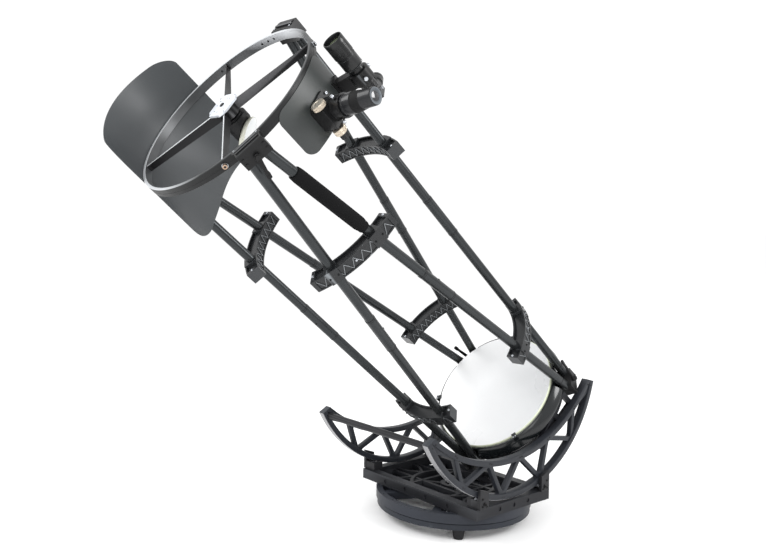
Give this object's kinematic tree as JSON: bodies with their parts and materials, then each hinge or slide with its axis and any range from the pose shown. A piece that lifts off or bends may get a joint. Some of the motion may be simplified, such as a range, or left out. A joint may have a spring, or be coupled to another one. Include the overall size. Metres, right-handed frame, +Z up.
{
  "type": "truss telescope on a rocker base",
  "caption": "Collapsible truss-tube reflector on a low rocker base with lattice altitude bearings, turning board, focuser, finder and light shield.",
  "frame": {"origin": "on the floor under the azimuth pivot", "axes": "+Z up; the altitude axis is parallel to X; the tube leans toward -Y; +X is the focuser side"},
  "size_m": [0.7998, 1.6478, 1.6097],
  "materials": {
    "board_coat": "satin",
    "foot_rubber": "matte",
    "bolt_steel": "satin",
    "table_coat": "satin",
    "frame_coat": "satin",
    "block_coat": "satin",
    "roller_metal": "satin",
    "bearing_coat": "satin",
    "strip_metal": "satin",
    "bar_coat": "satin",
    "cell_coat": "satin",
    "cell_frame_coat": "satin",
    "mirror_glass": "polished",
    "clamp_coat": "satin",
    "lever_plastic": "matte",
    "pole_anodised": "satin",
    "arc_coat": "satin",
    "grip_foam": "matte",
    "ring_metal": "satin",
    "shield_plastic": "satin",
    "board_plastic": "satin",
    "spider_coat": "satin",
    "hub_metal": "satin",
    "holder_coat": "satin",
    "secondary_glass": "polished",
    "focuser_coat": "satin",
    "drawtube_metal": "satin",
    "knob_metal": "satin",
    "fine_knob_metal": "satin",
    "eyepiece_body": "satin",
    "bracket_coat": "satin",
    "finder_coat": "satin",
    "finder_glass": "coated"
  },
  "bodies": {
    "ground": {"ground_ring": "board_coat", "feet": "foot_rubber", "pivot_bolt": "bolt_steel"},
    "rocker": {"turntable": "table_coat", "rocker_frame": "frame_coat", "block_front_right": "block_coat", "block_front_left": "block_coat", "block_rear_right": "block_coat", "block_rear_left": "block_coat"},
    "roller_front_right": {"roller_front_right": "roller_metal"},
    "roller_front_left": {"roller_front_left": "roller_metal"},
    "roller_rear_right": {"roller_rear_right": "roller_metal"},
    "roller_rear_left": {"roller_rear_left": "roller_metal"},
    "tube": {"crescent_right": "bearing_coat", "crescent_left": "bearing_coat", "running_strips": "strip_metal", "tie_bar": "bar_coat", "mirror_cell": "cell_coat", "cell_frame": "cell_frame_coat", "primary_mirror": "mirror_glass", "clamp_low_right": "clamp_coat", "clamp_low_left": "clamp_coat", "clamp_low_front": "clamp_coat", "lower_poles_right": "pole_anodised", "lower_poles_left": "pole_anodised", "lower_poles_front": "pole_anodised", "lower_arc_right": "arc_coat", "lower_arc_left": "arc_coat", "lower_arc_front": "arc_coat", "upper_poles_right": "pole_anodised", "upper_poles_back": "pole_anodised", "upper_poles_left": "pole_anodised", "foam_grip": "grip_foam", "upper_arc_right": "arc_coat", "upper_arc_back": "arc_coat", "upper_arc_left": "arc_coat", "clamp_top_right": "clamp_coat", "clamp_top_back": "clamp_coat", "clamp_top_left": "clamp_coat", "upper_ring": "ring_metal", "light_shield": "shield_plastic", "focuser_board": "board_plastic", "spider": "spider_coat", "hub_plate": "hub_metal", "secondary_holder": "holder_coat", "secondary_mirror": "secondary_glass", "focuser_body": "focuser_coat", "finder_bracket": "bracket_coat", "finder_tube": "finder_coat", "finder_lens": "finder_glass"},
    "lever_low_right": {"lever_low_right": "lever_plastic"},
    "lever_low_left": {"lever_low_left": "lever_plastic"},
    "lever_low_front": {"lever_low_front": "lever_plastic"},
    "lever_top_right": {"lever_top_right": "lever_plastic"},
    "lever_top_back": {"lever_top_back": "lever_plastic"},
    "lever_top_left": {"lever_top_left": "lever_plastic"},
    "drawtube": {"drawtube": "drawtube_metal"},
    "coarse_knob": {"coarse_knob": "knob_metal"},
    "fine_knob": {"fine_knob": "fine_knob_metal"},
    "eyepiece": {"eyepiece": "eyepiece_body"}
  },
  "joints": [
    {"name": "azimuth", "type": "hinge", "parent": "ground", "child": "rocker", "pos_m": [0, 0, 0.0543], "axis": [0, 0, 1], "continuous": true},
    {"name": "altitude", "type": "hinge", "parent": "rocker", "child": "tube", "pos_m": [0, 0, 0.573], "axis": [-1, 0, 0], "range_deg": [-39, 51]},
    {"name": "roller_front_right_turn", "type": "hinge", "parent": "rocker", "child": "roller_front_right", "pos_m": [0.253, -0.15013, 0.13576], "axis": [-1, 0, 0], "range_deg": [-1915, 1465]},
    {"name": "roller_front_left_turn", "type": "hinge", "parent": "rocker", "child": "roller_front_left", "pos_m": [-0.253, -0.15013, 0.13576], "axis": [-1, 0, 0], "range_deg": [-1915, 1465]},
    {"name": "roller_rear_right_turn", "type": "hinge", "parent": "rocker", "child": "roller_rear_right", "pos_m": [0.253, 0.15013, 0.13576], "axis": [-1, 0, 0], "range_deg": [-1915, 1465]},
    {"name": "roller_rear_left_turn", "type": "hinge", "parent": "rocker", "child": "roller_rear_left", "pos_m": [-0.253, 0.15013, 0.13576], "axis": [-1, 0, 0], "range_deg": [-1915, 1465]},
    {"name": "lever_top_right_turn", "type": "hinge", "parent": "tube", "child": "lever_top_right", "pos_m": [0.2999, -1.03066, 1.18481], "axis": [0.866, -0.3147, -0.3886], "range_deg": [0, 100]},
    {"name": "lever_top_back_turn", "type": "hinge", "parent": "tube", "child": "lever_top_back", "pos_m": [0, -0.70376, 1.5885], "axis": [0, 0.6293, 0.7771], "range_deg": [0, 100]},
    {"name": "lever_top_left_turn", "type": "hinge", "parent": "tube", "child": "lever_top_left", "pos_m": [-0.2999, -1.03066, 1.18481], "axis": [-0.866, -0.3147, -0.3886], "range_deg": [0, 100]},
    {"name": "lever_low_right_turn", "type": "hinge", "parent": "tube", "child": "lever_low_right", "pos_m": [0.24015, 0.34527, 0.47182], "axis": [0.866, 0.3147, 0.3886], "range_deg": [0, 90]},
    {"name": "lever_low_left_turn", "type": "hinge", "parent": "tube", "child": "lever_low_left", "pos_m": [-0.24015, 0.34527, 0.47182], "axis": [-0.866, 0.3147, 0.3886], "range_deg": [0, 90]},
    {"name": "lever_low_front_turn", "type": "hinge", "parent": "tube", "child": "lever_low_front", "pos_m": [0, 0.0835, 0.14856], "axis": [0, -0.6293, -0.7771], "range_deg": [0, 90]},
    {"name": "focus_travel", "type": "slide", "parent": "tube", "child": "drawtube", "axis": [0.9833, 0.1147, 0.1416], "range_m": [0, 0.025]},
    {"name": "coarse_knob_turn", "type": "hinge", "parent": "tube", "child": "coarse_knob", "pos_m": [0.33835, -0.83807, 1.28916], "axis": [0, 0.7771, -0.6293], "range_deg": [-5, 480]},
    {"name": "fine_knob_turn", "type": "hinge", "parent": "tube", "child": "fine_knob", "pos_m": [0.33835, -0.78989, 1.25015], "axis": [0, 0.7771, -0.6293], "range_deg": [-5, 4780]},
    {"name": "eyepiece_pull", "type": "slide", "parent": "drawtube", "child": "eyepiece", "axis": [0.9833, 0.1147, 0.1416], "range_m": [0, 0.06]}
  ],
  "couplings": [
    {"joint": "roller_front_right_turn", "follows": "altitude", "ratio": -37.5},
    {"joint": "roller_front_left_turn", "follows": "altitude", "ratio": -37.5},
    {"joint": "roller_rear_right_turn", "follows": "altitude", "ratio": -37.5},
    {"joint": "roller_rear_left_turn", "follows": "altitude", "ratio": -37.5},
    {"joint": "coarse_knob_turn", "follows": "focus_travel", "rad_per_m": 333.33},
    {"joint": "fine_knob_turn", "follows": "focus_travel", "rad_per_m": 3333.3}
  ]
}
